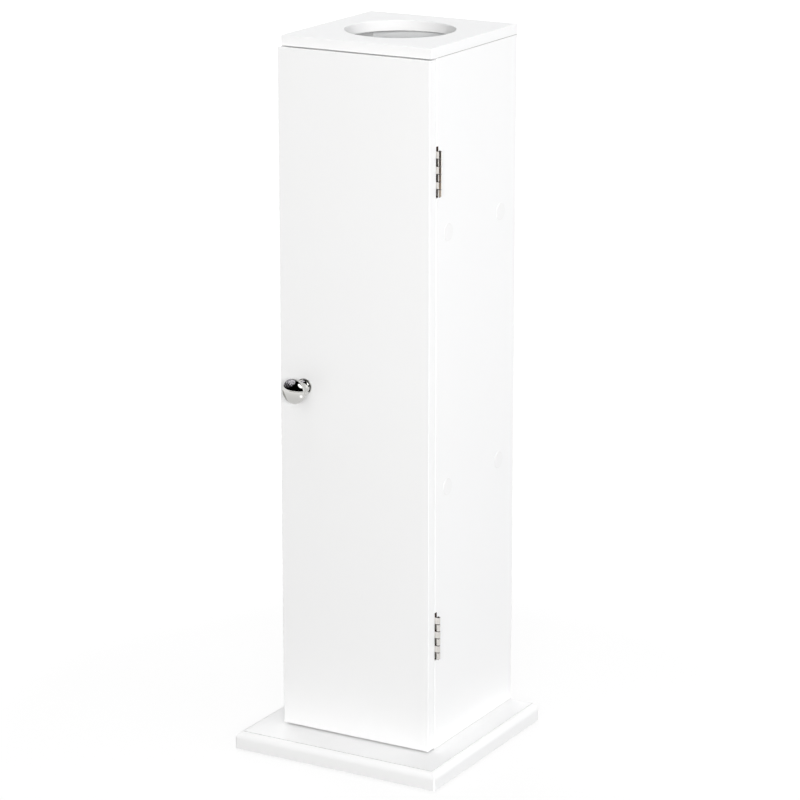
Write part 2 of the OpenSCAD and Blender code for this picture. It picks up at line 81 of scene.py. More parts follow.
class Nodes:
    # The node tree of one material or of the world
    def __init__(self, tree):
        self.tree = tree

    def feed(self, socket, value):
        if isinstance(value, Value):
            self.tree.links.new(value.socket, socket)
        else:
            socket.default_value = value

    def add(self, kind, values=None, out=0, stops=None, **settings):
        node = self.tree.nodes.new("ShaderNode" + kind)
        for name, setting in settings.items():
            setattr(node, name, setting)
        for step, (position, colour) in enumerate(stops or ()):
            ramp = node.color_ramp.elements
            element = ramp[step] if step < len(ramp) else ramp.new(position)
            element.position = position
            element.color = (*colour, 1)
        for name, value in (values or {}).items():
            self.feed(node.inputs[name], value)
        return Value(self, node.outputs[out])

    def maths(self, operation, first, second):
        return self.add("Math", {0: first, 1: second}, operation=operation)

    def noise(self, place, scale, detail=2, roughness=0.5):
        return self.add(
            "TexNoise", {"Vector": place, "Scale": scale, "Detail": detail, "Roughness": roughness}
        )

    def blend(self, factor, low, high):
        return self.add("Mix", {0: factor, 6: low, 7: high}, out=2, data_type="RGBA")

    def stretch(self, place, scale):
        return self.add("Mapping", {"Vector": place, "Scale": scale})

    def dents(self, height, depth):
        return self.add("Bump", {"Height": height, "Distance": depth, "Strength": 1.0})


class Finish(Nodes):
    # A material, with its Principled shader and the place on the object that its patterns read
    def __init__(self, name):
        self.material = bpy.data.materials.new(name)
        self.material.use_nodes = True
        super().__init__(self.material.node_tree)
        self.shader = self.tree.nodes["Principled BSDF"]
        self.place = self.add("TexCoord", out="Object")

    def shade(self, values):
        for name, value in values.items():
            self.feed(self.shader.inputs[name], value)
        return self.material


def grey(level, warmth=0.0):
    # A colour near grey: warmth adds to the red and takes from the blue
    return (level + warmth, level, level - warmth, 1)


# Finishes

lacquerKinds = {
    # tone, its drift over the board, gloss as roughness, and the film's peel in mm
    "panelLacquer": {"tone": 0.885, "drift": 0.010, "rough": 0.38, "peel": 0.0022},
    "doorLacquer": {"tone": 0.880, "drift": 0.008, "rough": 0.34, "peel": 0.0018},
}
lacquerScales = {"drift": 5, "handling": 22, "peel": 430, "grit": 2600, "fibres": 900}
# Painted shade: where the side panels meet the top panel and the base, the eased edges are darkened as if
# the joint were open and in shadow
jointShadeReach = 0.42             # mm of a board's eased edge that a joint line darkens
jointShadeTone = grey(0.24, 0.01)
# Painted shade: bare fibreboard in the hinge notches, darkened almost to black for the shade inside them
shadedBareBoard = ((0.030, 0.018, 0.014, 1), (0.075, 0.048, 0.036, 1))


def shadedBareCuts(paint, cuts):
    # 1 on the faces inside the notches, apart from the board's broad outer and inner face: there bare
    # board is darkened as painted shade
    place = [paint.add("SeparateXYZ", {0: paint.place}, out=axis) for axis in "YZ"]
    sideways = paint.add("SeparateXYZ", {0: paint.add("TexCoord", out="Normal")}, out="X")
    inside = 0
    for low, high, depth in cuts:
        above = paint.maths("GREATER_THAN", place[1], low)
        below = paint.maths("LESS_THAN", place[1], high)
        inside = paint.maths("LESS_THAN", place[0], depth) * above * below + inside
    return inside * paint.maths("LESS_THAN", paint.maths("ABSOLUTE", sideways, 0), 0.7)


def jointShadeLines(paint, joints):
    # 1 on the joints' eased edges, where the joint's painted shade goes, falling to 0 at the reach:
    # 1 - |z - joint| / reach. Level faces are left out.
    height = paint.add("SeparateXYZ", {0: paint.place}, out="Z")
    upright = paint.add("SeparateXYZ", {0: paint.add("TexCoord", out="Normal")}, out="Z")
    lines = 0
    for joint in joints:
        away = paint.maths("ABSOLUTE", height - joint, 0)
        lines = paint.add("Clamp", {"Value": 1 - away * (1 / (jointShadeReach * mm))}) + lines
    return lines * paint.maths("LESS_THAN", paint.maths("ABSOLUTE", upright, 0), 0.95)


def lacquer(kindName, name=None, cuts=(), joints=()):
    # Sprayed film: broad drift in tone, patches of handling in the gloss, orange peel and fine grit.
    # A cut is (lowest z, highest z, furthest y) in metres of a notch whose bare faces are darkened almost
    # to black as painted shade, a joint the height of a joint line darkened with painted shade.
    kind = lacquerKinds[kindName]
    paint = Finish(name or kindName)
    drift = paint.noise(paint.place, lacquerScales["drift"], 3)
    handling = paint.noise(paint.place, lacquerScales["handling"], 4, 0.6)
    peel = paint.noise(paint.place, lacquerScales["peel"], 1)
    grit = paint.noise(paint.place, lacquerScales["grit"], 2)
    low = kind["tone"] - kind["drift"]
    high = kind["tone"] + kind["drift"]
    colour = paint.blend(drift, grey(low, 0.001), grey(high, -0.002))
    gloss = handling * 0.10 + (kind["rough"] - 0.05)
    if joints:
        # painted shade along the joint lines
        colour = paint.blend(jointShadeLines(paint, joints), colour, jointShadeTone)
    if cuts:
        # bare board in the notches, darkened as painted shade; it is also rougher
        paintedShadeMask = shadedBareCuts(paint, cuts)
        fibres = paint.noise(paint.stretch(paint.place, (1, 1, 4)), lacquerScales["fibres"], 3)
        colour = paint.blend(paintedShadeMask, colour, paint.blend(fibres, *shadedBareBoard))
        gloss = gloss + paintedShadeMask * 0.45
    return paint.shade({
        "Base Color": colour,
        "Roughness": gloss,
        "Normal": paint.dents(peel + grit * 0.25, kind["peel"] * mm),
        "Specular IOR Level": 0.5,
    })


def backBoard():
    # Thin board with a printed white face: a faint woven emboss, a little duller than the lacquer
    board = Finish("backBoard")
    across = board.noise(board.stretch(board.place, (1, 1, 0.12)), 1500, 1)
    along = board.noise(board.stretch(board.place, (0.12, 1, 1)), 1500, 1)
    tone = board.noise(board.place, 9, 3)
    return board.shade({
        "Base Color": board.blend(tone, grey(0.855, -0.006), grey(0.880, -0.008)),
        "Roughness": board.noise(board.place, 40, 3) * 0.12 + 0.48,
        "Normal": board.dents(across + along, 0.02 * mm),
    })


def chrome():
    # Plated and polished: nearly a mirror, with faint wiping marks and a trace of haze. Under the
    # head, where the normal points back at the door, near-black patches are a painted dark reflection.
    plate = Finish("knobChrome")
    wiping = plate.noise(plate.stretch(plate.place, (1, 1, 3)), 160, 4, 0.65)
    haze = plate.noise(plate.place, 45, 3)
    facing = plate.add("SeparateXYZ", {0: plate.add("TexCoord", out="Normal")}, out="Y")
    # painted dark reflection: near black where the normal faces the door, broken into patches by noise
    darkMottle = plate.noise(plate.place, 420, 3, 0.6)
    behind = plate.add("Clamp", {"Value": (facing - 0.25) * 4})
    paintedShadeMask = behind * plate.add("Clamp", {"Value": (darkMottle - 0.36) * 9})
    polished = plate.blend(haze, (0.635, 0.63, 0.61, 1), (0.67, 0.665, 0.65, 1))
    return plate.shade({
        "Base Color": plate.blend(paintedShadeMask, polished, (0.02, 0.018, 0.018, 1)),
        "Metallic": 1.0,
        "Roughness": wiping * 0.07 + 0.012,
        "Normal": plate.dents(plate.noise(plate.place, 900, 2), 0.0004 * mm),
    })


def nickel():
    # Stamped steel, nickel plated: fine lines along the rolling and warm tarnish in patches. Faces that
    # point up or down are painted near black, a painted shade for the gaps between the knuckles.
    plate = Finish("hingeNickel")
    lines = plate.noise(plate.stretch(plate.place, (1, 1, 0.05)), 3800, 2)
    tarnish = plate.noise(plate.place, 260, 4, 0.6)
    pits = plate.noise(plate.place, 1900, 3)
    upright = plate.add("SeparateXYZ", {0: plate.add("TexCoord", out="Normal")}, out="Z")
    # painted shade: faces that point up or down turn near black
    endFaceShade = plate.add("Clamp", {"Value": (plate.maths("ABSOLUTE", upright, 0) - 0.7) * 5})
    plated = plate.blend(tarnish, (0.74, 0.71, 0.67, 1), (0.84, 0.82, 0.79, 1))
    return plate.shade({
        "Base Color": plate.blend(endFaceShade, plated, (0.06, 0.05, 0.045, 1)),
        "Metallic": 1.0,
        "Roughness": tarnish * 0.04 + lines * 0.02 + 0.012,
        "Normal": plate.dents(lines + pits * 0.5, 0.0004 * mm),
    })


def bluedSteel():
    # Hinge pin: drawn steel wire, blued in the furnace, with the die's lines along it
    wire = Finish("pinSteel")
    lines = wire.noise(wire.stretch(wire.place, (1, 1, 0.04)), 2600, 2)
    heat = wire.noise(wire.place, 350, 3)
    return wire.shade({
        "Base Color": wire.blend(heat, (0.035, 0.030, 0.032, 1), (0.085, 0.070, 0.060, 1)),
        "Metallic": 1.0,
        "Roughness": lines * 0.15 + 0.22,
        "Normal": wire.dents(lines, 0.001 * mm),
    })


def zinc():
    # Bright zinc: a cool grey metal with a straw and blue shimmer and a tumbled surface
    plate = Finish("screwZinc")
    shimmer = plate.noise(plate.place, 420, 3)
    tumbled = plate.noise(plate.place, 2400, 3)
    colour = plate.add(
        "ValToRGB", {"Fac": shimmer},
        stops=[(0.30, (0.56, 0.58, 0.63)), (0.55, (0.68, 0.68, 0.68)), (0.75, (0.70, 0.66, 0.56))],
    )
    return plate.shade({
        "Base Color": colour, "Metallic": 1.0, "Roughness": tumbled * 0.2 + 0.22,
        "Normal": plate.dents(tumbled, 0.01 * mm),
    })


def mouldedPlastic():
    # Injection moulded nylon: milky white, spark-eroded grain, flow streaks away from the gate
    plastic = Finish("catchPlastic")
    grain = plastic.noise(plastic.place, 2600, 2)
    flow = plastic.noise(plastic.stretch(plastic.place, (1, 1, 0.25)), 120, 3)
    return plastic.shade({
        "Base Color": plastic.blend(flow, (0.78, 0.77, 0.73, 1), (0.84, 0.835, 0.80, 1)),
        "Roughness": grain * 0.12 + 0.40,
        "Normal": plastic.dents(grain, 0.012 * mm),
    })


def ferrite():
    # Sintered ceramic magnet: charcoal, matt, with coarse grains that catch the light
    ceramic = Finish("magnetFerrite")
    grains = ceramic.add("TexVoronoi", {"Vector": ceramic.place, "Scale": 3200}, out="Distance")
    dust = ceramic.noise(ceramic.place, 500, 4)
    return ceramic.shade({
        "Base Color": ceramic.blend(dust, grey(0.030, 0.001), grey(0.075, 0.003)),
        "Roughness": grains * 0.25 + 0.6,
        "Normal": ceramic.dents(grains, 0.03 * mm),
    })


def rubber():
    # Dark foam rubber foot: closed cells show as fine pits, dust greys it in patches
    foam = Finish("padRubber")
    cells = foam.add("TexVoronoi", {"Vector": foam.place, "Scale": 2300}, out="Distance")
    dust = foam.noise(foam.place, 330, 4)
    return foam.shade({
        "Base Color": foam.blend(dust, grey(0.035), grey(0.085, 0.002)),
        "Roughness": dust * 0.1 + 0.82,
        "Normal": foam.dents(cells, 0.05 * mm),
    })


def sticker():
    # Self-adhesive vinyl dot: a shade greyer than the lacquer, embossed grain, rim rubbed darker
    vinyl = Finish("coverSticker")
    rim = vinyl.add("Attribute", attribute_name="rim", out="Fac")
    grain = vinyl.noise(vinyl.place, 1700, 2)
    creases = vinyl.noise(vinyl.place, 240, 3)
    face = vinyl.blend(creases, grey(0.858, 0.002), grey(0.880))
    return vinyl.shade({
        "Base Color": vinyl.blend(rim * 0.6, face, grey(0.77, 0.005)),
        "Roughness": grain * 0.15 + 0.46,
        "Normal": vinyl.dents(grain + creases * 3, 0.010 * mm),
    })


def beech():
    # Turned beech: pale brown, growth lines along the dowel, short dark flecks
    wood = Finish("dowelBeech")
    rings = wood.noise(wood.stretch(wood.place, (1, 1, 0.06)), 1400, 3, 0.6)
    flecks = wood.noise(wood.stretch(wood.place, (1, 1, 0.18)), 3400, 1)
    return wood.shade({
        "Base Color": wood.blend(rings, (0.50, 0.33, 0.19, 1), (0.70, 0.52, 0.34, 1)),
        "Roughness": flecks * 0.2 + 0.55,
        "Normal": wood.dents(rings + flecks * 0.5, 0.05 * mm),
    })


notchRoom = {"below": 1.2, "above": 3.8, "past": 0.05}   # mm


def notchCuts():
    # The right panel's two notches: that room below and above each hinge, as deep as its frame leaf
    s = notchRoom
    below, above, past = (s[side] * mm for side in ("below", "above", "past"))
    ends = [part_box(level + "_hinge_frame_leaf") for level in ("upper", "lower")]
    return [(low[2] - below, high[2] + above, high[1] + past) for low, high in ends]


sideEnds = [corner[2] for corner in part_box("side_panel_right")]
finishes = {
    "panel_lacquer": lacquer("panelLacquer", joints=sideEnds),
    "notched_lacquer": lacquer("panelLacquer", "notchedLacquer", notchCuts(), sideEnds),
    "door_lacquer": lacquer("doorLacquer"),
    "back_board": backBoard(),
    "knob_chrome": chrome(),
    "hinge_nickel": nickel(),
    "pin_steel": bluedSteel(),
    "screw_zinc": zinc(),
    "catch_plastic": mouldedPlastic(),
    "magnet_ferrite": ferrite(),
    "pad_rubber": rubber(),
    "cover_sticker": sticker(),
    "dowel_beech": beech(),
}
print("finishes:", len(finishes))


# Surfaces as grids of points

def gridQuads(rows, columns, first=0, wrapRows=False, wrapColumns=True):
    # Quad (i, j) joins points j and j + 1 of rows i and i + 1; a wrapped side closes on its start
    index = first + np.arange(rows * columns).reshape(rows, columns)
    if wrapRows:
        index = np.vstack([index, index[:1]])
    if wrapColumns:
        index = np.hstack([index, index[:, :1]])
    corners = [index[:-1, :-1], index[:-1, 1:], index[1:, 1:], index[1:, :-1]]
    return np.stack(corners, -1).reshape(-1, 4)


def revolve(outline, spokes, flute=None):
    # Point (i, j) = (r_i cos a_j, r_i sin a_j, h_i), r and h from the outline and a once round.
    # A flute, where there is one, multiplies r_i by its own value at (i, j).
    radius, height = np.asarray(outline, float).T[:, :, None]
    angle = np.linspace(0, 2 * math.pi, spokes, endpoint=False)
    if flute is not None:
        radius = radius * flute(angle, height)
    level = height + 0 * angle
    return np.stack([radius * np.cos(angle), radius * np.sin(angle), level], -1)


def arc(middle, radius, start, end, steps):
    # Points at radius round the middle, from the start angle to the end angle in degrees
    angle = np.radians(np.linspace(start, end, steps))
    return np.stack([middle[0] + radius * np.cos(angle), middle[1] + radius * np.sin(angle)], -1)


def stack(stations, cornerSteps=7):
    # Row s is a rounded rectangle at height z: each point is the middle, plus the step to a corner's
    # centre (half size less the corner's radius), plus that radius times its direction.
    # A station is (half width, half depth, corner radius, middle x, middle y, z).
    halfX, halfY, corner, midX, midY, level = np.asarray(stations, float).T[:, :, None]
    quarter = np.linspace(0, 90, cornerSteps)
    angle = np.radians((np.arange(4)[:, None] * 90 + quarter).ravel())
    sideX = np.repeat((1, -1, -1, 1), cornerSteps)
    sideY = np.repeat((1, 1, -1, -1), cornerSteps)
    x = midX + sideX * (halfX - corner) + corner * np.cos(angle)
    y = midY + sideY * (halfY - corner) + corner * np.sin(angle)
    return np.stack([x, y, level + 0 * x], -1)


def easedWall(halfX, halfY, corner, low, high, ease, middle=(0, 0), steps=4):
    # Stations up a block's wall, with a quarter round of radius ease at its foot and at its top
    turn = np.radians(np.concatenate([np.linspace(-90, 0, steps), np.linspace(0, 90, steps)]))
    inset = ease * (1 - np.cos(turn))
    level = np.repeat((low + ease, high - ease), steps) + ease * np.sin(turn)
    return [
        (halfX - i, halfY - i, max(corner - i, 0.01), *middle, z) for i, z in zip(inset, level)
    ]


def shut(stations):
    # Adds a point at each end of the stations, so that the stack is closed
    first, last = stations[0], stations[-1]
    return [(0, 0, 0, *first[3:]), *stations, (0, 0, 0, *last[3:])]


def stand(points, foot, axis):
    # Turns points so that their Z runs along axis and their Y stays upright, then moves them to foot
    axis = np.array(axis, float)
    upright = np.array((0.0, 1.0, 0.0)) if axis[2] else np.array((0.0, 0.0, 1.0))
    turned = np.stack([np.cross(upright, axis), upright, axis])
    return np.asarray(foot, float) + points @ turned


def closedGrid(points, wrapRows=False):
    # A grid that closes round its columns, as flat arrays of points and quads
    rows, columns = points.shape[:2]
    return points.reshape(-1, 3), gridQuads(rows, columns, wrapRows=wrapRows)


def joined(parts):
    # Several (points, faces) pairs as one, with each face's numbers moved past the points before it
    counts = np.cumsum([0] + [len(points) for points, faces in parts])
    points = np.concatenate([points for points, faces in parts])
    faces = np.concatenate([faces + start for (_, faces), start in zip(parts, counts)])
    return points, faces


def makePiece(name, body, parts, slotName, stoodFor, ease=0, extra=None):
    # Sizes come in mm; seams and poles are welded and every face is turned outwards
    points, faces = joined(parts)
    mesh = bpy.data.meshes.new(name)
    mesh.from_pydata(points * mm, [], faces)
    if extra is not None:
        mesh.attributes.new("rim", "FLOAT", "POINT").data.foreach_set("value", extra)
    shape = bmesh.new()
    shape.from_mesh(mesh)
    bmesh.ops.remove_doubles(shape, verts=shape.verts, dist=weldDistance)
    bmesh.ops.recalc_face_normals(shape, faces=shape.faces)
    shape.to_mesh(mesh)
    shape.free()
    mesh.shade_smooth()
    mesh.set_sharp_from_angle(angle=sharpAngle)
    mesh.materials.append(finishes[slotName])
    piece = bpy.data.objects.new(name, mesh)
    bpy.context.scene.collection.objects.link(piece)
    if ease:
        bevel = piece.modifiers.new("easedEdges", "BEVEL")
        bevel.width = ease * mm
        bevel.segments = 2
        bevel.limit_method = "ANGLE"
        bevel.angle_limit = sharpAngle
    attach(piece, body)
    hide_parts(*stoodFor)


def boxOf(node):
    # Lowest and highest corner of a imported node, in mm
    low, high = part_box(node)
    return np.array(low) / mm, np.array(high) / mm


# Boards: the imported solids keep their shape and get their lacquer

boardFinishes = {
    "panel_lacquer": (
        "base_plate", "side_panel_left", "top_panel", "shelf_upper", "shelf_lower"
    ),
    "notched_lacquer": ("side_panel_right",),
    "door_lacquer": ("door",),
    "back_board": ("back_panel",),
}
for slotName, boards in boardFinishes.items():
    for board in boards:
        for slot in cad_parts[board].material_slots:
            slot.material = finishes[slotName]
print("boards: lacquered")


# Knob

knobSizes = {
    "foot": 15.5, "footThick": 1.4, "neck": 7.0, "neckWaist": 0.42,
    "footCurve": 4, "headCurve": 2.2, "dome": 3.6, "rim": 4.0,
    "bore": 4.1, "boreDeep": 10.5, "spokes": 168,
}


def knobOutline(reach, across):
    # Radius and height from the door: bore, flat foot with a round edge, waisted neck, hollow under
    # the head, round rim, and a dome whose arc leaves the rim's without a crease and has the full
    # reach: the two middles lie (half**2 + dome**2) / (2 dome) apart.
    s = knobSizes
    rim = s["rim"] / 2
    rimAt = reach - s["dome"] - rim
    domeHalf = across / 2 - rim
    apart = (domeHalf**2 + s["dome"] ** 2) / (2 * s["dome"])
    domeAt = reach - apart - rim
    footEdge = s["footThick"] / 2
    t = np.linspace(0.02, 1, 40)
    waist = s["neckWaist"]
    footR = s["foot"] / 2 - s["footThick"]
    headR = across / 2 - s["rim"]
    below = (footR - s["neck"] / 2) * np.clip(1 - t / waist, 0, 1) ** s["footCurve"]
    rise = np.clip((t - waist) / (1 - waist), 0, 1)
    above = (headR - s["neck"] / 2) * rise ** s["headCurve"]
    neckFoot = 0.8 * s["footThick"]
    neck = np.stack([s["neck"] / 2 + below + above, neckFoot + t * (rimAt - neckFoot)], -1)
    neck = neck[neck[:, 1] > s["footThick"]]
    neck = neck[neck[:, 1] < rimAt - rim]
    crossing = math.degrees(math.acos(domeHalf / apart))
    return np.concatenate([
        [(0, s["boreDeep"]), (s["bore"] / 2, s["boreDeep"] - 1), (s["bore"] / 2, 0.2)],
        [(s["bore"] / 2 + 0.2, 0), (s["foot"] / 2 - footEdge, 0)],
        arc((s["foot"] / 2 - footEdge, footEdge), footEdge, -90, 90, 12),
        neck,
        arc((domeHalf, rimAt), rim, -90, crossing, 20),
        arc((0, domeAt), apart + rim, crossing, 90, 40)[1:],
    ])


def makeKnob():
    low, high = boxOf("knob")
    outline = knobOutline(high[1] - low[1], high[0] - low[0])
    middle = (low + high) / 2
    foot = (middle[0], high[1], middle[2])
    points = stand(revolve(outline, knobSizes["spokes"]), foot, (0, -1, 0))
    makePiece("turnedKnob", doorLeaf, [closedGrid(points)], "knob_chrome", ["knob"])
    print("knob: turned")


makeKnob()


# Screws, and the covers over their heads

screwKinds = {
    # mm: head across, shank across, length, thread pitch; countersunk, or domed and that high
    "shelf": {"head": 7.0, "shank": 3.5, "long": 32.0, "pitch": 1.6, "sunk": True},
    "base": {"head": 8.0, "shank": 4.0, "long": 40.0, "pitch": 1.8, "sunk": True},
    "hinge": {"head": 4.6, "shank": 2.8, "long": 10.0, "pitch": 1.1, "sunk": True},
    "catch": {"head": 5.0, "shank": 2.6, "long": 8.0, "pitch": 1.0, "sunk": False, "high": 5 / 3},
    "knob": {"head": 8.0, "shank": 4.0, "long": 22.0, "pitch": 0.8, "sunk": False, "high": 2.4},
}
screwShape = {
    "spokes": 56, "faceRings": 18, "threadDepth": 0.16, "rowsPerTurn": 8,
    "armLong": 0.30, "armHalf": 0.075, "recess": 0.17, "blur": 0.02, "point": 0.3,
}


def softEdge(distance, half, blur):
    # 1 inside the half width, 0 outside, with a smooth step of width 2 blur between
    t = np.clip((distance - half + blur) / (2 * blur), 0, 1)
    return 1 - t * t * (3 - 2 * t)


def screwGrid(kind):
    # Rows run from the middle of the head's face, over its edge, down the shank to the point.
    # Face: height = dome - recess x cross, the cross being two arms that get deeper inwards.
    # Shank: radius = core + thread depth x (1 + cos(turns - angle)) / 2, faded in at both ends.
    s, k = screwShape, screwKinds[kind]
    headR, shankR = k["head"] / 2, k["shank"] / 2
    high = 0 if k["sunk"] else k["high"]
    angle = np.linspace(0, 2 * math.pi, s["spokes"], endpoint=False)

    ring = np.linspace(0, headR - 0.08, s["faceRings"])[:, None]
    x, y = ring * np.cos(angle), ring * np.sin(angle)
    blur = s["blur"] * k["head"]
    armHalf, armLong = s["armHalf"] * k["head"], s["armLong"] * k["head"]
    arms = [softEdge(abs(a), armHalf, blur) * softEdge(abs(b), armLong, blur) for a, b in ((x, y), (y, x))]
    cross = np.maximum(*arms) * (1 - 0.6 * ring / headR)
    dome = high * 0.4 * (1 - (ring / headR) ** 2) - (high * 0.4 if high else 0)
    face = np.stack([x, y, high + dome - s["recess"] * k["head"] * cross], -1)

    sunkDeep = headR - shankR if k["sunk"] else 0
    edge = [(headR, high * 0.6 - 0.06), (headR, 0.06 if high else -0.12)]
    edge += [(headR - 0.06, 0)] if high else []
    under = (shankR, -sunkDeep)
    tipLong = k["shank"]
    plainLong = 0.3 * (k["long"] - tipLong)
    turns = (k["long"] - tipLong - plainLong) / k["pitch"]
    rows = int(turns * s["rowsPerTurn"])
    z = -np.linspace(plainLong + sunkDeep, k["long"] - tipLong, rows)
    tip = np.linspace(0, 1, 14)
    tipZ = -(k["long"] - tipLong) - tip * tipLong
    tipR = shankR + (s["point"] - shankR) * tip
    level = np.concatenate([z, tipZ[1:]])[:, None]
    outer = np.concatenate([np.full(rows, shankR), tipR[1:]])[:, None]
    fade = np.clip(np.minimum(z[0] - level, level + k["long"]) / k["pitch"], 0, 1)
    depth = s["threadDepth"] * k["shank"] * np.clip(outer / shankR, 0.2, 1)
    wave = (1 + np.cos(2 * math.pi * level / k["pitch"] - angle)) / 2
    radius = outer - depth * fade * (1 - wave)
    thread = np.stack([radius * np.cos(angle), radius * np.sin(angle), level + 0 * radius], -1)
    return np.concatenate([
        face, revolve(edge + [under], s["spokes"]), thread, revolve([(0, -k["long"])], s["spokes"])
    ])


def makeScrews(name, body, kind, places, axis, stoodFor):
    grid = screwGrid(kind)
    parts = [closedGrid(stand(grid, place, axis)) for place in places]
    makePiece(name, body, parts, "screw_zinc", [stoodFor])


def rowCentres(node, size):
    # Middles of what sits in a node's two rows and two columns, from its box and the size of one
    low, high = boxOf(node)
    low, high = low + np.array(size) / 2, high - np.array(size) / 2
    return low, high


def makeShelfFixings():
    # The same four places on each side: screws from the side panel's face, covers over their heads
    for side, facing in (("left", -1), ("right", 1)):
        node = "shelf_screws_" + side
        head = screwKinds["shelf"]["head"]
        low, high = rowCentres(node, (0, head, head))
        face = high[0] if facing > 0 else low[0]
        places = [(face, y, z) for y in (low[1], high[1]) for z in (low[2], high[2])]
        makeScrews("shelfScrews" + side.title(), cabinet, "shelf", places, (facing, 0, 0), node)
        makeCovers(side, places, facing)


coverSizes = {"across": 15.4, "thick": 0.4, "rimRound": 0.22, "crown": 0.06, "spokes": 96}


def coverOutline():
    # Flat underside, round rim, and a face that rises to the full thickness in the middle
    s = coverSizes
    outer, top = s["across"] / 2, s["thick"] - s["crown"]
    face = np.linspace(1, 0, 12)[:, None]
    inner = outer - s["rimRound"]
    dome = np.hstack([inner * face, top + s["crown"] * (1 - face**2)])
    rim = arc((inner, top - s["rimRound"]), s["rimRound"], 0, 80, 6)
    return np.concatenate([[(0, 0), (outer - 0.04, 0), (outer, 0.04)], rim, dome])


def makeCovers(side, places, facing):
    outline = coverOutline()
    grid = revolve(outline, coverSizes["spokes"])
    nearRim = np.clip(outline[:, 0] / (coverSizes["across"] / 2) * 8 - 7, 0, 1)
    rim = np.tile(np.repeat(nearRim, coverSizes["spokes"]), len(places))
    parts = [closedGrid(stand(grid, place, (facing, 0, 0))) for place in places]
    name = "screwCovers" + side.title()
    makePiece(name, cabinet, parts, "cover_sticker", ["screw_covers_" + side], extra=rim)


makeShelfFixings()
print("shelf screws and covers: set")


def makeBaseScrews():
    head = screwKinds["base"]["head"]
    low, high = rowCentres("base_screws", (head, head, 0))
    places = [(x, y, low[2]) for x in (low[0], high[0]) for y in (low[1], high[1])]
    makeScrews("baseScrews", cabinet, "base", places, (0, 0, -1), "base_screws")


makeBaseScrews()


# Hinges

hingeSizes = {
    "knuckles": 6, "gap": 0.6, "bore": 1.8, "sheet": 0.9, "off": 1.75, "cut": 4.4,
    "screwUp": 12.0, "sunk": 4.7, "drill": 2.9, "corner": 1.2, "curl": 290, "curlSteps": 36,
    "fingerColumns": 4, "rings": 5, "ease": 0.10,
}


def linePoints(start, end, steps):
    # Even steps from start to end, the end itself left out
    return np.linspace(start, end, steps, endpoint=False)


def plateEdge(reach, half, side, columns):
    # Once round one half of the plate, as (x, z): up the cut edge through the fingers' columns, along
    # the end with its rounded corner, down the far edge and back along the middle line
    s = hingeSizes
    corner = s["corner"]
    mine = np.sort(columns[(columns * side > 1e-6) & (columns * side < half - 1e-6)] * side)
    cutEdge = np.stack([np.full(len(mine), -s["cut"]), mine], -1)
    endCorner = arc((-reach + corner, half - corner), corner, 90, 180, 7)[:-1]
    edge = np.concatenate([
        cutEdge,
        linePoints((-s["cut"], half), (-reach + corner, half), 6),
        endCorner,
        linePoints((-reach, half - corner), (-reach, 0), 10),
        linePoints((-reach, 0), (-s["cut"], 0), 6),
        [(-s["cut"], 0)],
    ])
    return edge * (1, side)


def plateSkin(edge, centre, drill):
    # Point (k, j) lies on the straight line from the hole's rim to edge point j, k rings along it
    spoke = edge - centre
    rim = centre + spoke / np.linalg.norm(spoke, axis=1, keepdims=True) * drill / 2
    t = np.linspace(0, 1, hingeSizes["rings"])[:, None, None]
    return rim + (edge - rim) * t


def curlSkin(radius, off, columns):
    # Row i: along the sheet to the pin, then round the pin at that radius; column j is a height.
    # x = radius cos a, y = radius sin a, with a going down from a quarter turn
    s = hingeSizes
    flat = np.stack([linePoints(-s["cut"], 0, 5), linePoints(off, radius, 5)], -1)
    path = np.concatenate([flat, arc((0, 0), radius, 90, 90 - s["curl"], s["curlSteps"])])
    x, y = path.T[:, :, None]
    return np.stack([x + 0 * columns, y + 0 * columns, columns + 0 * x], -1)


def joinSkins(inner, outer, quads):
    # Two skins with the same quads, welded, with a wall along every edge that only one quad has
    both, number = np.unique(np.hstack([inner, outer]).round(5), axis=0, return_inverse=True)
    quads = number.reshape(-1)[quads]
    edges = quads[:, [0, 1, 1, 2, 2, 3, 3, 0]].reshape(-1, 2)
    once, where, count = np.unique(np.sort(edges, 1), axis=0, return_index=True, return_counts=True)
    loose = edges[where[count == 1]]
    total = len(both)
    walls = np.stack([loose[:, 1], loose[:, 0], loose[:, 0] + total, loose[:, 1] + total], -1)
    points = np.concatenate([both[:, :3], both[:, 3:]])
    return points, np.concatenate([quads, quads[:, ::-1] + total, walls])


def leafShell(length, barrel, reach, first, side):
    # A stamped and rolled leaf round the origin. Side 1 is the frame leaf, -1 its mirror in Y.
    s = hingeSizes
    half, pitch = length / 2, length / s["knuckles"]
    spread = np.linspace(s["gap"] / 2 - pitch, -s["gap"] / 2, s["fingerColumns"])
    fingers = [half - k * pitch + spread for k in range(first, s["knuckles"], 2)]
    columns = np.concatenate(fingers)
    middle = -(reach + s["cut"]) / 2
    inner, outer, quads, start = [], [], [], 0
    for up in (1, -1):
        edge = plateEdge(reach, half, up, columns)
        centre = np.array((middle, up * s["screwUp"]))
        sides = (inner, s["sunk"], s["off"] - s["sheet"]), (outer, s["drill"], s["off"])
        for skins, drill, off in sides:
            flat = plateSkin(edge, centre, drill)
            skins.append(np.stack([flat[..., 0], np.full(flat.shape[:2], off), flat[..., 1]], -1))
        rows, count = inner[-1].shape[:2]
        quads.append(gridQuads(rows, count, start))
        start += rows * count
    for heights in fingers:
        inner.append(curlSkin(s["bore"] / 2, s["off"] - s["sheet"], heights))
        outer.append(curlSkin(barrel / 2, s["off"], heights))
        rows, count = inner[-1].shape[:2]
        quads.append(gridQuads(rows, count, start, wrapColumns=False))
        start += rows * count
    flatten = [np.concatenate([skin.reshape(-1, 3) for skin in skins]) for skins in (inner, outer)]
    points, faces = joinSkins(*flatten, np.concatenate(quads))
    return points * (1, side, 1), faces


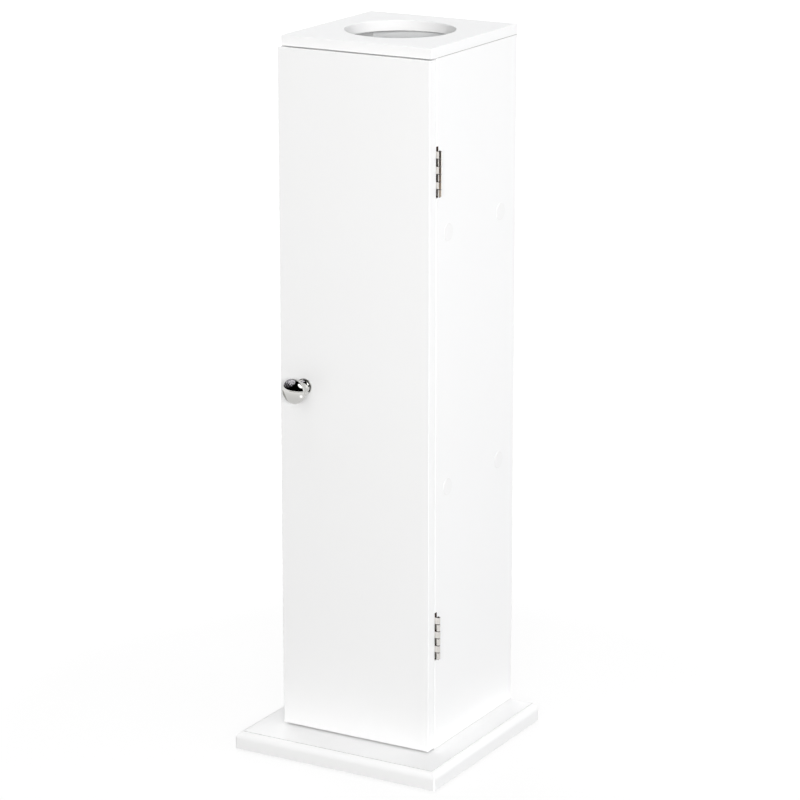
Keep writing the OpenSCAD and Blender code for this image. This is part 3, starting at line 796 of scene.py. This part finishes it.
def pinOutline(radius, long):
    # A straight pin with domed ends, from its lower end to its upper end
    dome = 0.35 * radius
    flat = radius - dome
    return np.concatenate([
        [(0, -long / 2)],
        arc((flat, -long / 2 + dome), dome, -90, 0, 6),
        arc((flat, long / 2 - dome), dome, 0, 90, 6),
        [(0, long / 2)],
    ])


def makeHinge(level):
    pinLow, pinHigh = boxOf(level + "_hinge_pin")
    leafLow, leafHigh = boxOf(level + "_hinge_frame_leaf")
    axis = (pinLow + pinHigh) / 2
    length = leafHigh[2] - leafLow[2]
    barrel = 2 * (leafHigh[0] - axis[0])
    reach = axis[0] - leafLow[0]
    for leaf, body, first, side in (("Door", doorLeaf, 0, -1), ("Frame", cabinet, 1, 1)):
        points, faces = leafShell(length, barrel, reach, first, side)
        node = f"{level}_hinge_{leaf.lower()}_leaf"
        name = f"{level}Hinge{leaf}Leaf"
        makePiece(name, body, [(points + axis, faces)], "hinge_nickel", [node], hingeSizes["ease"])
    pin = revolve(pinOutline((pinHigh[0] - pinLow[0]) / 2, pinHigh[2] - pinLow[2]), 40) + axis
    makePiece(level + "HingePin", cabinet, [closedGrid(pin)], "pin_steel", [level + "_hinge_pin"])
    across = axis[0] - (reach + hingeSizes["cut"]) / 2
    return [(across, axis[1], axis[2] + up * hingeSizes["screwUp"]) for up in (-1, 1)]


def makeHinges():
    screwPlaces = np.array(makeHinge("upper") + makeHinge("lower"))
    inner = hingeSizes["off"] - hingeSizes["sheet"]
    for side, name, body in ((-1, "Door", doorLeaf), (1, "Frame", cabinet)):
        places = screwPlaces + (0, side * inner, 0)
        node = "hinge_screws_" + name.lower()
        makeScrews("hingeScrews" + name, body, "hinge", places, (0, -side, 0), node)


makeHinges()
print("hinges: rolled and pinned")


# Magnetic catch and strike

catchSizes = {
    "earThick": 1.8, "bodyLong": 26.0, "corner": 1.4, "ease": 0.5, "screwUp": 18.0,
    "hole": 2.7, "pocketWide": 6.8, "pocketLong": 20.4, "pocketDeep": 8.4, "lip": 0.3, "intoBody": 1.5,
}
poleThick = 1.2


def makeCatch():
    s = catchSizes
    low, high = boxOf("catch_housing")
    mid = (low + high) / 2
    halfLong = (high[2] - low[2]) / 2
    depth = high[1] - low[1]
    # Body: stacked from its rear to its front, then in over the lip to the pocket's floor
    halfWide = (high[0] - low[0]) / 2
    magnetLow, magnetHigh = boxOf("catch_magnet")
    pocketX = -((magnetLow + magnetHigh) / 2 - mid)[0]
    outside = easedWall(halfWide, s["bodyLong"] / 2, s["corner"], 0, depth, s["ease"])
    lip = s["lip"]
    wide, long = s["pocketWide"] / 2, s["pocketLong"] / 2
    pocket = [
        (wide + lip, long + lip, lip + 0.2, pocketX, 0, depth),
        (wide, long, lip, pocketX, 0, depth - lip),
        (wide, long, lip, pocketX, 0, depth - s["pocketDeep"]),
    ]
    body = stand(stack(shut(outside + pocket)), (mid[0], high[1], mid[2]), (0, -1, 0))
    parts = [closedGrid(body)]
    # Ears: a plate on the side panel at each end, with a screw hole, closed through the hole
    bodyEnd = s["bodyLong"] / 2 - s["intoBody"]
    for up in (-1, 1):
        half = (halfLong - bodyEnd) / 2
        centre = (0, up * (bodyEnd + half))
        hole = (s["hole"] / 2, s["hole"] / 2, s["hole"] / 2, 0, up * s["screwUp"])
        wall = easedWall(depth / 2, half, s["corner"], 0, s["earThick"], 0.35, centre)
        ear = stack([(*hole, 0), *wall, (*hole, s["earThick"])])
        placed = stand(ear, (low[0], mid[1], mid[2]), (1, 0, 0))
        parts.append(closedGrid(placed, wrapRows=True))
    makePiece("catchHousing", cabinet, parts, "catch_plastic", ["catch_housing"])

    face = low[0] + s["earThick"]
    places = [(face, mid[1], mid[2] + up * s["screwUp"]) for up in (-1, 1)]
    makeScrews("catchScrews", cabinet, "catch", places, (1, 0, 0), "catch_screws")


def easedBlock(low, high, corner, ease):
    # A block between two corners, stacked along Z, with round upright edges and eased ends
    half, mid = (high - low) / 2, (high + low) / 2
    wall = easedWall(half[0], half[1], corner, -half[2], half[2], ease)
    return closedGrid(stack(shut(wall)) + mid)


def makeMagnet():
    low, high = boxOf("catch_magnet")
    block = easedBlock(low, high, 0.3, 0.25)
    makePiece("catchMagnet", cabinet, [block], "magnet_ferrite", ["catch_magnet"])
    low, high = boxOf("catch_pole_plates")
    thick = np.array((poleThick, 0, 0))
    plates = [
        easedBlock(low, high * (0, 1, 1) + low * (1, 0, 0) + thick, 0.2, 0.15),
        easedBlock(low * (0, 1, 1) + high * (1, 0, 0) - thick, high, 0.2, 0.15),
    ]
    makePiece("catchPolePlates", cabinet, plates, "hinge_nickel", ["catch_pole_plates"])


def makeStrike():
    # A plate with a countersunk hole: up its outer wall, in to the hole and down through it
    low, high = boxOf("strike_plate")
    half, mid = (high - low) / 2, (high + low) / 2
    thick = high[1] - low[1]
    sunk, drill = hingeSizes["sunk"] / 2, hingeSizes["drill"] / 2
    rows = [
        (drill, drill, drill, 0, 0, 0),
        *easedWall(half[0], half[2], 1.5, 0, thick, 0.2),
        (sunk, sunk, sunk, 0, 0, thick),
        (drill, drill, drill, 0, 0, thick - (sunk - drill)),
    ]
    plate = closedGrid(stand(stack(rows, 10), (mid[0], low[1], mid[2]), (0, 1, 0)), wrapRows=True)
    makePiece("strikePlate", doorLeaf, [plate], "hinge_nickel", ["strike_plate"])
    place = (mid[0], high[1], mid[2])
    makeScrews("strikeScrew", doorLeaf, "hinge", [place], (0, 1, 0), "strike_screw")


def makeKnobScrew():
    low, high = boxOf("knob_screw")
    mid = (low + high) / 2
    under = boxOf("door")[1][1]
    makeScrews("knobScrew", doorLeaf, "knob", [(mid[0], under, mid[2])], (0, 1, 0), "knob_screw")


makeCatch()
makeMagnet()
makeStrike()
makeKnobScrew()
print("catch, strike and knob screw: set")


# Foot pads and dowels

padShape = {"across": 14.0, "round": 0.5, "spokes": 80}
dowelShape = {"across": 5.0, "chamfer": 0.6, "flutes": 18, "fluteDeep": 0.035, "spokes": 108}


def makePads():
    s = padShape
    low, high = rowCentres("foot_pads", (s["across"], s["across"], 0))
    thick = high[2] - low[2]
    outer, edge = s["across"] / 2, s["round"]
    outline = np.concatenate([
        [(0, 0), (outer - edge * 2, 0)],
        arc((outer - edge, edge), edge, -90, 0, 6),
        arc((outer - edge, thick - edge), edge, 0, 90, 6),
        [(0, thick)],
    ])
    grid = revolve(outline, s["spokes"])
    parts = [
        closedGrid(grid + (x, y, low[2])) for x in (low[0], high[0]) for y in (low[1], high[1])
    ]
    makePiece("footPads", cabinet, parts, "pad_rubber", ["foot_pads"])


def dowelFlutes(angle, height):
    # Radius x (1 - depth x (1 - cos(flutes x angle)) / 2)
    s = dowelShape
    return 1 - s["fluteDeep"] * (1 - np.cos(s["flutes"] * angle)) / 2 + 0 * height


def makeDowels(node, name):
    s = dowelShape
    low, high = rowCentres(node, (s["across"], s["across"], 0))
    long, radius = high[2] - low[2], s["across"] / 2
    body = np.stack([np.full(9, radius), np.linspace(s["chamfer"], long - s["chamfer"], 9)], -1)
    outline = np.concatenate([
        [(0, 0), (radius - s["chamfer"], 0)], body, [(radius - s["chamfer"], long), (0, long)]
    ])
    grid = revolve(outline, s["spokes"], dowelFlutes)
    parts = [
        closedGrid(grid + (x, y, low[2])) for x in (low[0], high[0]) for y in (low[1], high[1])
    ]
    makePiece(name, cabinet, parts, "dowel_beech", [node])


makePads()
makeDowels("top_dowels", "topDowels")
makeDowels("base_dowels", "baseDowels")
print("pads and dowels: set")


# Stage: floor, cards for the metal to mirror, lamps, camera

floorSizes = {
    "half": 8.0, "selfLit": 0.65, "glow": 1.35, "mirrored": 1.10, "paint": 0.35,
    "fadeFrom": 0.35, "fadeOver": 1.2,
}
white = (1, 1, 1, 1)


def seenDirectly(nodes):
    # 1 for camera, mirror and glass rays, 0 for the rays that light the object
    kinds = ("Camera", "Glossy", "Transmission")
    return sum(nodes.add("LightPath", out=f"Is {kind} Ray") for kind in kinds)


def stageMaterial(name):
    nodes = Finish(name)
    nodes.tree.nodes.remove(nodes.shader)
    return nodes, nodes.tree.nodes["Material Output"].inputs["Surface"]


def placeSheet(name, grid, material):
    # A sheet of the stage from rows of points in metres
    rows, columns = grid.shape[:2]
    mesh = bpy.data.meshes.new(name)
    mesh.from_pydata(grid.reshape(-1, 3), [], gridQuads(rows, columns, wrapColumns=False))
    mesh.materials.append(material)
    sheet = bpy.data.objects.new(name, mesh)
    bpy.context.scene.collection.objects.link(sheet)
    return sheet


def makeFloor():
    # Seen directly it is part self-lit, so it reads white and still keeps the object's shadow. The
    # self-lit share grows with the distance from the cabinet, from selfLit to all of it.
    s = floorSizes
    nodes, surface = stageMaterial("whiteFloor")
    paint = nodes.add("BsdfDiffuse", {"Color": grey(s["paint"])})
    mirror = nodes.add("LightPath", out="Is Glossy Ray")
    strength = mirror * (s["mirrored"] - s["glow"]) + s["glow"]
    glow = nodes.add("Emission", {"Color": white, "Strength": strength})
    away = nodes.add("VectorMath", {0: nodes.place}, out="Value", operation="LENGTH")
    fade = nodes.add("Clamp", {"Value": (away - s["fadeFrom"]) * (1 / s["fadeOver"])})
    share = seenDirectly(nodes) * (fade * (1 - s["selfLit"]) + s["selfLit"])
    nodes.feed(surface, nodes.add("MixShader", {0: share, 1: paint, 2: glow}))
    ends = np.array((-s["half"], s["half"]))
    x, y = np.meshgrid(ends, ends)
    placeSheet("floor", np.stack([x, y, 0 * x], -1), nodes.material)


knobEye = (-0.052, -0.084, 0.342)
darkRoom = {"far": 6.5, "turn": (-228, -25), "lift": (0, 84)}
tableEdge = {
    # what the upper hinge mirrors: the floor's tone from near to far, round the hinge's axis
    "middle": (0.0775, -0.0457, 0), "turn": (-130, 8), "from": 2.40, "to": 3.10,
    "tones": [
        (0.0, (0.60, 0.54, 0.47)), (0.12, (0.38, 0.30, 0.22)), (0.27, (0.11, 0.065, 0.04)),
        (0.60, (0.012, 0.006, 0.005)), (0.92, (0.02, 0.012, 0.012)), (1.0, (0.70, 0.69, 0.68)),
    ],
}
mirrorCards = {
    # the two ends of the long side as degrees round and up from the knob, width and distance in m;
    # oval: how sharply it ends, patches: what the clouds leave of the light, their scale and how
    # much they thin upwards
    "sideWindow": {
        "ends": ((-198, 6), (-101, 39)), "wide": 2.0, "far": 2.6, "colour": (0.84, 0.82, 0.90),
        "strength": 1.0, "patches": (0.05, 3.6, 0.20), "oval": 4,
    },
    "leftShade": {
        "ends": ((-232, -24), (-176, -24)), "wide": 0.26, "far": 0.55,
        "colour": (0.45, 0.45, 0.43), "strength": 1.0, "oval": 2,
    },
    "frontLamp": {
        "ends": ((-75, 43), (-44, 18)), "wide": 0.80, "far": 2.5, "colour": (1, 1, 1),
        "strength": 2.4, "oval": 3,
    },
    "floorGlint": {
        "ends": ((-63, -40), (-39, -31)), "wide": 0.18, "far": 0.40, "colour": (1, 1, 1),
        "strength": 1.9, "oval": 1.0,
    },
    "rightWall": {
        "ends": ((-35, 14), (40, 14)), "wide": 1.6, "far": 2.7, "colour": (1, 1, 1),
        "strength": 1.25,
    },
}


def heading(turn, lift):
    # The direction turn degrees round from +X and lift degrees up: (cos e cos a, cos e sin a, sin e)
    around, up = np.radians(turn), np.radians(lift)
    level = np.cos(up)
    return np.stack([level * np.cos(around), level * np.sin(around), np.sin(up) + 0 * around], -1)


def onlyMirrored(card):
    for ray in ("camera", "diffuse", "transmission", "volume_scatter", "shadow"):
        setattr(card, "visible_" + ray, False)


def glowing(name, colour, strength, card=None, patches=None, oval=None):
    # Even light, or one that clouds take down in patches, or that ends softly in an oval. card is
    # its middle and its two half sides: a and b run from -1 to 1 along them.
    nodes, surface = stageMaterial(name)
    tone = (*colour, 1)
    a, b = cardPlace(nodes, *card) if card else (0, 0)
    if patches:
        left, scale, lift = patches
        cloud = nodes.add(
            "ValToRGB", {"Fac": nodes.noise(nodes.place, scale, 3) + b * lift},
            stops=[(0.45, (0, 0, 0)), (0.53, (1, 1, 1))],
        )
        tone = nodes.blend(cloud, (*(np.array(colour) * left), 1), tone)
    shader = nodes.add("Emission", {"Color": tone, "Strength": strength})
    if oval:
        share = nodes.add("Clamp", {"Value": (1 - (a * a + b * b)) * oval})
        shader = nodes.add("MixShader", {0: share, 1: nodes.add("BsdfTransparent"), 2: shader})
    nodes.feed(surface, shader)
    return nodes.material


def cardPlace(nodes, middle, *sides):
    # How far along each half side a point lies: (point - middle) . side / |side|^2
    offset = nodes.add("VectorMath", {0: nodes.place, 1: middle}, operation="SUBTRACT")
    shares = [{0: offset, 1: side / (side @ side)} for side in sides]
    return [nodes.add("VectorMath", share, out="Value", operation="DOT_PRODUCT") for share in shares]


def makeDarkRoom():
    # The unlit room before the cabinet: point (e, a) at the far distance in that direction
    s = darkRoom
    turn, lift = np.linspace(*s["turn"], 49), np.linspace(*s["lift"], 25)[:, None]
    grid = s["far"] * heading(turn + 0 * lift, lift + 0 * turn)
    onlyMirrored(placeSheet("darkDome", grid, glowing("darkDome", (0, 0, 0), 1)))


def makeTableEdge():
    # A ring of the floor, point (r, a) = middle + r (cos a, sin a), toned by its distance from there
    s = tableEdge
    turn, away = np.linspace(*s["turn"], 61), np.array((s["from"], s["to"]))[:, None]
    grid = s["middle"] + away[..., None] * heading(turn, 0 * turn) + (0, 0, 0.003)
    nodes, surface = stageMaterial("tableEdge")
    between = {0: nodes.place, 1: s["middle"]}
    distance = nodes.add("VectorMath", between, out="Value", operation="DISTANCE")
    share = (distance - s["from"]) * (1 / (s["to"] - s["from"]))
    tone = nodes.add("ValToRGB", {"Fac": share}, stops=s["tones"])
    nodes.feed(surface, nodes.add("Emission", {"Color": tone, "Strength": 1.0}))
    onlyMirrored(placeSheet("tableEdge", grid, nodes.material))


def makeCards():
    # Point (t, u) = middle + t (end - start) + u width x the normal of that side and of the view to it
    t, u = np.meshgrid((-0.5, 0.5), (-0.5, 0.5))
    for name, kind in mirrorCards.items():
        ends = knobEye + kind["far"] * heading(*np.transpose(kind["ends"]))
        middle, across = ends.mean(0), ends[1] - ends[0]
        upward = np.cross(middle - knobEye, across)
        upward *= kind["wide"] / np.linalg.norm(upward)
        grid = middle + t[..., None] * across + u[..., None] * upward
        card = (middle, across / 2, upward / 2)
        masks = (kind.get("patches"), kind.get("oval"))
        material = glowing(name, kind["colour"], kind["strength"], card, *masks)
        onlyMirrored(placeSheet(name, grid, material))


lampKinds = {
    # place, what it points at, width and height in m, power in W, colour
    "frontStrip": {
        "at": (2.06, -3.43, 1.38), "to": (0, 0, 0.5), "size": (2.0, 0.34),
        "power": 127, "colour": (1, 0.997, 0.99),
    },
    "keyBox": {
        "at": (0.28, -3.21, 2.35), "to": (0, 0, 0.35), "size": (1.8, 1.8),
        "power": 13, "colour": (1, 0.997, 0.99),
    },
    "sideBox": {
        "at": (2.95, 0.26, 0.8), "to": (0, 0, 0.33), "size": (2.4, 2.0),
        "power": 44, "colour": (0.985, 0.99, 1),
    },
    "topBox": {
        "at": (0.1, -0.2, 3.4), "to": (0, 0, 0.60), "size": (2.0, 2.0),
        "power": 32, "colour": (1, 1, 1),
    },
    "rearBox": {
        "at": (-2.3, 2.3, 1.8), "to": (0, 0, 0.33), "size": (2.0, 2.0),
        "power": 58, "colour": (1, 1, 1),
    },
}
skyKind = {"lighting": 0.20, "seen": 1.05, "colour": (0.985, 0.99, 1, 1)}


def makeLamps():
    for name, kind in lampKinds.items():
        lamp = bpy.data.lights.new(name, "AREA")
        lamp.shape = "RECTANGLE"
        lamp.size, lamp.size_y = kind["size"]
        lamp.energy = kind["power"]
        lamp.color = kind["colour"]
        holder = bpy.data.objects.new(name, lamp)
        holder.location = kind["at"]
        aim = np.array(kind["to"]) - np.array(kind["at"])
        across, upward = math.hypot(aim[0], aim[1]), aim[2]
        holder.rotation_euler = (math.atan2(across, -upward), 0, math.atan2(-aim[0], aim[1]))
        holder.visible_glossy = False
        holder.visible_camera = False
        bpy.context.scene.collection.objects.link(holder)


def makeSky():
    world = bpy.data.worlds.new("studioSky")
    bpy.context.scene.world = world
    world.use_nodes = True
    nodes = Nodes(world.node_tree)
    background = world.node_tree.nodes["Background"]
    s = skyKind
    strength = seenDirectly(nodes) * (s["seen"] - s["lighting"]) + s["lighting"]
    nodes.feed(background.inputs["Color"], s["colour"])
    nodes.feed(background.inputs["Strength"], strength)


cameraSizes = {
    # The photograph's view: metres from the middle of the base, degrees, mm of lens on a 36 mm sensor
    "at": (1.3970, -2.4335, 1.1082), "turn": 29.642, "dip": 15.641, "lens": 145.94, "sensor": 36,
}


def makeCamera():
    s = cameraSizes
    lens = bpy.data.cameras.new("photoView")
    lens.sensor_width = s["sensor"]
    lens.lens = s["lens"]
    lens.clip_end = 50
    camera = bpy.data.objects.new("photoView", lens)
    camera.location = s["at"]
    camera.rotation_euler = (math.radians(90 - s["dip"]), 0, math.radians(s["turn"]))
    bpy.context.scene.collection.objects.link(camera)
    bpy.context.scene.camera = camera


makeFloor()
makeDarkRoom()
makeTableEdge()
makeCards()
makeLamps()
makeSky()
makeCamera()
bpy.context.scene.view_settings.view_transform = "Standard"
print("stage: floor, cards, lamps and camera")
